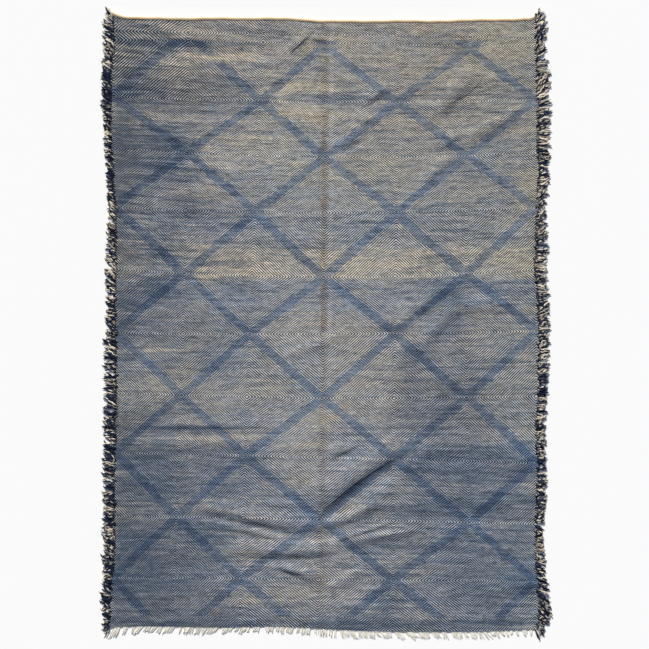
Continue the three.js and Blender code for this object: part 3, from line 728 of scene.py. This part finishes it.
def make_heading_cord(name):
    """Two plies twined round each other along the head, not quite straight."""
    x = np.linspace(HEAD["x"][0] + 2, HEAD["x"][-1] - 2, CORD_STEPS)
    y = head_edge(x) + PIECE_GAP + CORD_PLY_RADIUS - 1.0
    y = y + 0.8 * np.sin(x / 37.0) + 0.6 * np.sin(x / 13.0)
    length = np.concatenate([[0], np.cumsum(np.hypot(np.diff(x), np.diff(y)))])
    plies = []
    for start in (0.0, math.pi):
        turn = length * 2 * math.pi / CORD_TURN + start
        plies.append(np.stack([
            x, y + CORD_SPREAD[0] * np.cos(turn), CORD_HEIGHT + CORD_SPREAD[1] * np.sin(turn),
        ], -1))
    paths = np.stack(plies)
    radii = np.full(paths.shape[:2], CORD_PLY_RADIUS)
    turns = np.broadcast_to(length * 2 * math.pi / CORD_PLY_TWIST, paths.shape[:2])
    tints = np.array([[1.0, 0.35, 0.0], [1.0, 0.65, 0.0]])
    return make_strands(name, paths, radii, turns, 6, tints, lobes=0.1)


class Value:
    """What a material works out at each point. Arithmetic on it adds nodes."""

    def __init__(self, nodes, socket):
        self.nodes = nodes
        self.socket = socket

    def math(self, operation, *others, clamp=False):
        inputs = dict(enumerate((self, *others)))
        return self.nodes.value("ShaderNodeMath", inputs, operation=operation, use_clamp=clamp)

    def __add__(self, other):
        return self.math("ADD", other)

    def __sub__(self, other):
        return self.math("SUBTRACT", other)

    def __rsub__(self, other):
        return self.nodes.value("ShaderNodeMath", {0: other, 1: self}, operation="SUBTRACT")

    def __mul__(self, other):
        return self.math("MULTIPLY", other)

    def __truediv__(self, other):
        return self.math("DIVIDE", other)

    def __abs__(self):
        return self.math("ABSOLUTE")

    def floor(self):
        return self.math("FLOOR")

    def back_and_forth(self, width):
        return self.math("PINGPONG", width)

    def between(self, low, high):
        """The value, or the limit that it is past."""
        return self.math("MAXIMUM", low).math("MINIMUM", high)

    def centred(self, strength):
        """From 0 to 1 turned into both sides of 0."""
        return (self - 0.5) * strength

    def step(self, low, high):
        """0 below low, 1 above high, smooth between."""
        return self.nodes.value("ShaderNodeMapRange", {"Value": self, "From Min": low, "From Max": high},
                                interpolation_type="SMOOTHSTEP")


class Nodes:
    """A material's nodes, made by short calls."""

    def __init__(self, name):
        self.material = bpy.data.materials.new(name)
        self.material.use_nodes = True
        self.tree = self.material.node_tree
        self.shader = self.tree.nodes["Principled BSDF"]

    def add(self, kind, inputs=(), **settings):
        node = self.tree.nodes.new(kind)
        for key, value in settings.items():
            setattr(node, key, value)
        for key, value in dict(inputs).items():
            self.put(node.inputs[key], value)
        return node

    def put(self, socket, value):
        if isinstance(value, Value):
            self.tree.links.new(value.socket, socket)
        elif socket.type == "RGBA":
            socket.default_value = (*value, 1.0)
        else:
            socket.default_value = value

    def value(self, kind, inputs=(), output=0, **settings):
        """One output of a new node."""
        return Value(self, self.add(kind, inputs, **settings).outputs[output])

    def blend(self, share, a, b):
        """A number between a and b."""
        return self.value("ShaderNodeMix", {0: share, 2: a, 3: b}, data_type="FLOAT")

    def mix(self, share, a, b, blend="MIX"):
        """A colour between a and b."""
        return self.value("ShaderNodeMix", {0: share, 6: a, 7: b}, 2, data_type="RGBA", blend_type=blend)

    def tint(self, share, colour, by):
        """A colour multiplied by another, as far as the share says."""
        return self.mix(share, colour, self.mix(1.0, colour, by, "MULTIPLY"))

    def place(self):
        return self.value("ShaderNodeTexCoord", output="Object")

    def split(self, vector):
        return [Value(self, part) for part in self.add("ShaderNodeSeparateXYZ", {0: vector}).outputs]

    def read(self, name):
        """The three values that a mesh stores at its points under this name."""
        return self.split(self.value("ShaderNodeAttribute", output="Vector", attribute_name=name))

    def noise(self, scale, stretch=(1.0, 1.0, 1.0), detail=2.0, roughness=0.5, offset=0.0):
        """Noise fixed to the object, in lumps per metre, from 0 to 1."""
        mapped = self.value("ShaderNodeMapping", {"Vector": self.place(), "Scale": stretch,
                                                  "Location": (offset, offset * 0.7, 0.0)})
        return self.value("ShaderNodeTexNoise", {"Vector": mapped, "Scale": scale,
                                                 "Detail": detail, "Roughness": roughness})

    def wool(self, colour, roughness, relief, strength, depth):
        """The material as matt wool, with a bump of this strength and depth."""
        self.put(self.shader.inputs["Base Color"], colour)
        self.put(self.shader.inputs["Roughness"], roughness)
        self.shader.inputs["Sheen Weight"].default_value = 0.04
        self.shader.inputs["Sheen Roughness"].default_value = 0.5
        self.shader.inputs["Specular IOR Level"].default_value = 0.12
        bump = self.value("ShaderNodeBump", {"Strength": strength, "Distance": depth, "Height": relief})
        self.put(self.shader.inputs["Normal"], bump)
        return self.material


NAVY = ((0.003, 0.006, 0.017), (0.012, 0.021, 0.056))
DARK_WEFT = (0.006, 0.010, 0.020)
WEFT = (0.022, 0.032, 0.052)
PALE_WEFT = (0.075, 0.100, 0.135)
CREAM = (0.740, 0.700, 0.630)
PALE_CREAM = (0.860, 0.825, 0.765)
DEEP_SHADE = (0.008, 0.010, 0.020)
BLUER = (0.62, 0.885, 1.31)
BROWNER = (1.13, 1.035, 0.84)
DYE_AND_SHADE_WARP = (0.40, 0.44, 0.50)
BROWN_WARP = (0.72, 0.62, 0.52)
CREASE_SHADE = (0.20, 0.23, 0.32)
RUST = (0.180, 0.085, 0.040)
CLOTH_SOIL = (0.80, 0.72, 0.60)
YARN_SOIL = (0.78, 0.68, 0.52)
YARN_FLECK = (0.45, 0.45, 0.50)
SIDE_CREAM = ((0.30, 0.265, 0.215), (0.80, 0.72, 0.58))
FOOT_CREAM = ((0.74, 0.71, 0.62), (0.88, 0.86, 0.79))
CORD_CREAM = ((0.66, 0.48, 0.28), (0.80, 0.63, 0.42))


class Weave(Nodes):
    """The cloth's nodes. An end is a yarn of the warp and a pick is one of the weft."""

    def __init__(self, name):
        super().__init__(name)
        self.u, self.v, self.underside = self.read("lattice")
        self.dark, self.warm, self.cream = self.read("tones")
        self.x, self.y, _ = self.split(self.place())
        self.lower_half = self.v.step(3.2, 5.2)

        # the yarns sway a little, and each has a whole number
        broad, fine = self.noise(9.0), self.noise(34.0, detail=1.0, offset=2.0)
        self.swayed_u = self.u + (broad * 0.030 + fine * 0.010 - 0.020)
        broad = self.noise(8.0, (0.5, 1.0, 1.0), offset=4.0)
        fine = self.noise(30.0, (0.4, 1.0, 1.0), detail=1.0, offset=6.0)
        self.swayed_v = self.v + (broad * 0.030 + fine * 0.010 - 0.020)
        self.end_at = self.swayed_u.back_and_forth(1.0) * YARNS
        self.pick_at = self.turned_about() * YARNS
        self.end, self.pick = self.end_at.floor(), self.pick_at.floor()

    def turned_about(self):
        """The count of rows, back and forth: it turns at each row, twice near the head and in the border."""
        first_turn, between_turns, _ = self.read("turns")
        turned = self.swayed_v + (first_turn - self.swayed_v).between(0.0, between_turns) * 2.0
        inner = turned.between(0.0, LAST_ROW)
        past = turned - inner
        at_foot = past.math("MAXIMUM", 0.0).back_and_forth(BORDER_TURN)
        return inner.back_and_forth(1.0) + (past.math("MINIMUM", 0.0) + at_foot)

    def pick_noise(self, picks_high, long, offset):
        """Noise that is smooth along the weft and jumps from one band of picks to the next."""
        band = (self.swayed_v * (YARNS / picks_high)).floor()
        along = self.value("ShaderNodeCombineXYZ", {0: self.x * (1.0 / long), 1: band * 7.31, 2: offset})
        return self.value("ShaderNodeTexNoise", {"Vector": along, "Scale": 1.0, "Detail": 2.0})

    def streak(self, picks_high, long, offset, strength):
        return self.pick_noise(picks_high, long, offset).centred(strength)

    def twill(self, slant, width):
        """1 where the warp lies on top: floats that step from yarn to yarn with slanting ends."""
        stepped = self.end + self.pick * slant
        smooth = self.end_at + self.pick_at * slant - (0.5 + 0.5 * slant)
        phase = self.blend(0.6, stepped, smooth)
        from_float = (phase - 0.5).back_and_forth(YARNS_PER_LINE / 2.0)
        return 1 - from_float.step(width - 0.2, width + 0.2)

    def at_turns(self):
        """1 along the rows of corners, where a few picks show more of the warp."""
        from_turn = self.swayed_v.back_and_forth(0.5)
        return (1 - from_turn.step(0.012, 0.035)) * self.pick_noise(5.0, 0.12, 12.0).step(0.35, 0.65)

    def in_bands(self, turn):
        """1 in the bands of the lattice. They are ragged and faded in patches, more so near the head."""
        rough = self.blend(self.lower_half, 1.0, 0.55)
        band_pick = (self.swayed_v.back_and_forth(1.0) * YARNS).floor()
        across = (self.end + band_pick) / YARNS + self.noise(11.0, (1.0, 1.6, 1.0), offset=21.0).centred(0.04)
        ragged = self.streak(3.0, 0.05, 5.0, 0.13) + self.streak(7.0, 0.10, 6.0, 0.08)
        from_band = abs(across - BAND_PLACE) + ragged * rough
        share = 1 - from_band.step(BAND_HALF_WIDTH - 0.015, BAND_HALF_WIDTH + 0.015)
        share *= self.y.math("LESS_THAN", PATTERN_HEAD) * self.v.math("LESS_THAN", PATTERN_FOOT)
        share *= 1 - self.cream.step(0.19, 0.26)
        patchy = self.streak(4.0, 0.08, 9.0, 1.1) + self.noise(9.0, offset=23.0).centred(0.5)
        share *= (patchy * rough).math("ADD", 0.90, clamp=True)
        return share * (1 - turn * 0.60)

    def warp_on_top(self, band, turn):
        """1 where the warp shows and 0 where the weft does: two over two under in the field, where patches
        are broken into dots, and one over three under and turned about in the bands."""
        field = self.twill(1.0, self.cream + 0.60 + turn * 0.07)
        broken = self.noise(24.0, (0.5, 1.3, 1.0), offset=51.0).step(0.48, 0.66) * 0.50
        field = self.blend(broken, field, self.twill(-1.0, self.cream + 0.60))
        up = self.blend(band, field, self.twill(-1.0, 0.36))
        return self.blend(self.underside, up, 1 - up)

    def weft_colour(self, tone, band):
        ramp = self.add("ShaderNodeValToRGB", {"Fac": 0.42 - tone * 0.45 + band * 0.30})
        ramp.color_ramp.elements[0].color = (*DARK_WEFT, 1.0)
        ramp.color_ramp.elements[1].color = (*PALE_WEFT, 1.0)
        ramp.color_ramp.elements.new(0.5).color = (*WEFT, 1.0)
        return Value(self, ramp.outputs[0])

    def warp_colour(self, tone, from_middle, fading):
        """Cream, streaked along its length, dulled where the weft is dark, and browned in a stripe down the
        middle.
        """
        colour = self.mix(self.noise(240.0, (1.0, 0.03, 1.0), offset=5.0), CREAM, PALE_CREAM)
        colour = self.tint((tone * 0.80).math("ADD", 0.12, clamp=True), colour, DYE_AND_SHADE_WARP)
        brown_stripe = 1 - abs(from_middle).step(0.025, 0.05)
        browned = self.noise(16.0, (1.0, 0.6, 1.0), offset=41.0).step(0.30, 0.70)
        browned *= self.blend(fading, 0.8, 0.35)
        return self.tint(brown_stripe * browned, colour, BROWN_WARP)

    def roundness(self, at, yarn):
        """How high a round yarn stands at a point."""
        off = (at - yarn - 0.5) * 2.0
        return (1 - off * off * 0.96).math("SQRT")

    def unevenness(self, streaks, from_middle, fading):
        """How light each float is: by chance, by its dye, and in a pale stripe beside the brown middle
        stripe.
        """
        float_place = self.value("ShaderNodeCombineXYZ", {
            0: (self.swayed_u * (YARNS / 6.0)).floor(),
            1: (self.swayed_v * (YARNS / 3.0)).floor(),
        })
        chance = self.value("ShaderNodeTexWhiteNoise", {"Vector": float_place}, noise_dimensions="2D")
        slub = self.noise(150.0, (0.35, 1.0, 1.0), roughness=0.7, offset=31.0)
        pale_stripe = 1 - abs(from_middle - 0.095).step(0.02, 0.04)
        light = chance.centred(0.35) + 0.970 + slub.centred(1.2) + streaks * -0.22
        light += pale_stripe * self.blend(fading, 0.12, 0.04)
        return self.value("ShaderNodeCombineXYZ", {0: light, 1: light, 2: light})

    def hue(self, tone, band):
        """From bluer to browner."""
        patches = self.noise(7.0, (0.6, 1.4, 1.0), detail=3.0, offset=11.0).centred(0.55)
        share = self.warm * 0.26 + 0.11 + tone * -0.26 + band * -0.30 + self.streak(3.0, 0.05, 8.0, 0.6)
        return self.mix((share + patches + 0.5).between(0.0, 1.0), BLUER, BROWNER)

    def shaded_and_worn(self, colour, rub):
        """The colour after painted shade along the creases, and after stains, soil and rubbing."""
        crease_off, crease_shade_strength, stain = self.read("shade_and_stains")
        # a thin line of painted shade along each crease, and a softer painted shadow on its right
        line = 1 - abs(crease_off).step(1.5, 5.5)
        aside = (1 - crease_off.step(0.0, 26.0)) * crease_off.step(-3.0, 3.0)
        crease = (line * 0.95).math("MAXIMUM", aside * 0.25)
        colour = self.tint(crease_shade_strength * crease, colour, CREASE_SHADE)
        colour = self.mix(stain * 0.8, colour, RUST)
        soil = self.noise(14.0, detail=5.0, roughness=0.65, offset=17.0).step(0.56, 0.85)
        colour = self.tint(soil * 0.25, colour, CLOTH_SOIL)
        return self.mix(rub.step(0.55, 0.8) * 0.16, colour, PALE_CREAM)


def cloth_material():
    n = Weave("field_weave")
    turn = n.at_turns()
    band = n.in_bands(turn)
    up = n.warp_on_top(band, turn)

    # the dye takes unevenly: pick by pick, along each pick, and in broad patches; a few stretches add painted
    # shade beside folds
    first, *others = (n.streak(*row) for row in DYE_STREAKS)
    streaks = sum(others, first) * n.blend(n.lower_half, 1.12, 0.80)
    tone = n.dark + streaks + n.noise(8.0, (0.5, 1.3, 1.0), offset=7.0).centred(0.5)

    # a brown stripe down the middle and a pale one beside it, fainter from a little below the middle
    from_middle, fading = n.swayed_u - MIDDLE_COLUMN, n.v.step(5.0, 5.8)
    weft = n.weft_colour(tone, band)
    warp = n.warp_colour(tone, from_middle, fading)

    # here and there the cloth is rubbed or the twill is blurred
    blurred = n.noise(14.0, (0.6, 1.2, 1.0), offset=13.0).step(0.50, 0.74) * 0.22
    between = n.mix(0.36, weft, warp)
    yarn = n.mix(up, n.mix(blurred, weft, between), n.mix(blurred, warp, between))
    yarn = n.mix(1.0, yarn, n.unevenness(streaks, from_middle, fading), "MULTIPLY")

    # each yarn is round, with painted shade where it dips between its neighbours
    height = n.blend(up, n.roundness(n.pick_at, n.pick) * 0.85, n.roundness(n.end_at, n.end))
    colour = n.mix(height.step(0.35, 0.75), n.mix(0.30, yarn, DEEP_SHADE), yarn)
    colour = n.mix(1.0, colour, n.hue(tone, band), "MULTIPLY")
    rub = n.noise(420.0, detail=3.0, roughness=0.7)
    relief = height * 0.8 + n.noise(1500.0) * 0.25
    return n.wool(n.shaded_and_worn(colour, rub), n.blend(rub, 0.82, 0.97), relief, 0.55, 1.2 * MM)


def yarn_material(name, light, root_shade):
    """Spun yarn ends: each strand's tint, with painted shade at its root, fuzzy and a little uneven."""
    n = Nodes(name)
    is_cream, chance, along = n.read("yarn")
    colour = n.mix(is_cream, n.mix(chance, *NAVY), n.mix(chance, *light))
    fleck = n.noise(700.0, detail=3.0, roughness=0.65)
    colour = n.tint(fleck.step(0.42, 0.75) * 0.30, colour, YARN_FLECK)
    colour = n.tint(n.noise(45.0, detail=3.0, offset=9.0).step(0.45, 0.75) * 0.35, colour, YARN_SOIL)
    colour = n.mix((1 - along.step(0.0, 0.35)) * root_shade, colour, DEEP_SHADE)
    return n.wool(colour, n.blend(fleck, 0.80, 0.97), n.noise(2200.0), 0.4, 0.6 * MM)


# The rug's pieces
cloth = make_cloth()
left_fringe = make_side_fringe("weft_ends_left", "left", 11)
right_fringe = make_side_fringe("weft_ends_right", "right", 29)
foot_fringe = make_foot_fringe("warp_ends_foot", 53)
cord = make_heading_cord("heading_twine")

weft_yarn = yarn_material("weft_end_yarn", SIDE_CREAM, 0.90)
warp_yarn = yarn_material("warp_end_yarn", FOOT_CREAM, 0.10)
cord_yarn = yarn_material("heading_yarn", CORD_CREAM, 0.0)

for piece, node, slot, material in (
    (cloth, "rug_field", "field_wool", cloth_material()),
    (left_fringe, "side_fringe_left", "weft_ends", weft_yarn),
    (right_fringe, "side_fringe_right", "weft_ends", weft_yarn),
    (foot_fringe, "warp_fringe", "warp_ends", warp_yarn),
    (cord, "heading_cord", "heading_cord", cord_yarn),
):
    piece.data.materials.append(material)
    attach(piece, "root")
    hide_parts(node)

# The floor, the light and the camera, in metres
FLOOR_HALF = 9.0
CAMERA_X = -0.0064
CAMERA_Y = -0.0007
FRAME_WIDTH = 2.4662
LENS = 85.0
SENSOR = 36.0
SUN_FROM = (-0.28, 0.80, 0.53)
SUN_STRENGTH = 4.95
SUN_SPREAD = 14.0
SUN_COLOUR = (1.06, 1.016, 0.924)
WORLD_LIGHT = 0.23
WORLD_COLOUR = (0.78, 0.94, 1.28)

floor_mesh = bpy.data.meshes.new("floor")
floor_mesh.from_pydata(
    [(-FLOOR_HALF, -FLOOR_HALF, 0), (FLOOR_HALF, -FLOOR_HALF, 0), (FLOOR_HALF, FLOOR_HALF, 0),
     (-FLOOR_HALF, FLOOR_HALF, 0)], [], [(0, 1, 2, 3)])
floor = bpy.data.objects.new("floor", floor_mesh)
bpy.context.scene.collection.objects.link(floor)
paper = Nodes("pale_floor")
paper.shader.inputs["Base Color"].default_value = (0.90, 0.90, 0.90, 1.0)
paper.shader.inputs["Roughness"].default_value = 0.9
paper.shader.inputs["Specular IOR Level"].default_value = 0.1
floor_mesh.materials.append(paper.material)

sun_data = bpy.data.lights.new("key", "SUN")
sun_data.energy = SUN_STRENGTH
sun_data.color = SUN_COLOUR
sun_data.angle = math.radians(SUN_SPREAD)
sun = bpy.data.objects.new("key", sun_data)
sun.rotation_mode = "QUATERNION"
sun.rotation_quaternion = Vector(SUN_FROM).to_track_quat("Z", "Y")
bpy.context.scene.collection.objects.link(sun)

world = bpy.data.worlds.new("studio")
world.use_nodes = True
world.node_tree.nodes["Background"].inputs["Color"].default_value = (*WORLD_COLOUR, 1.0)
world.node_tree.nodes["Background"].inputs["Strength"].default_value = WORLD_LIGHT
bpy.context.scene.world = world
bpy.context.scene.view_settings.view_transform = "Standard"

camera_data = bpy.data.cameras.new("camera")
camera_data.lens = LENS
camera_data.sensor_width = SENSOR
camera = bpy.data.objects.new("camera", camera_data)
camera.location = (CAMERA_X, CAMERA_Y, FRAME_WIDTH * LENS / SENSOR)
camera.rotation_euler = (0.0, 0.0, 0.0)
bpy.context.scene.collection.objects.link(camera)
bpy.context.scene.camera = camera

bpy.context.view_layer.update()
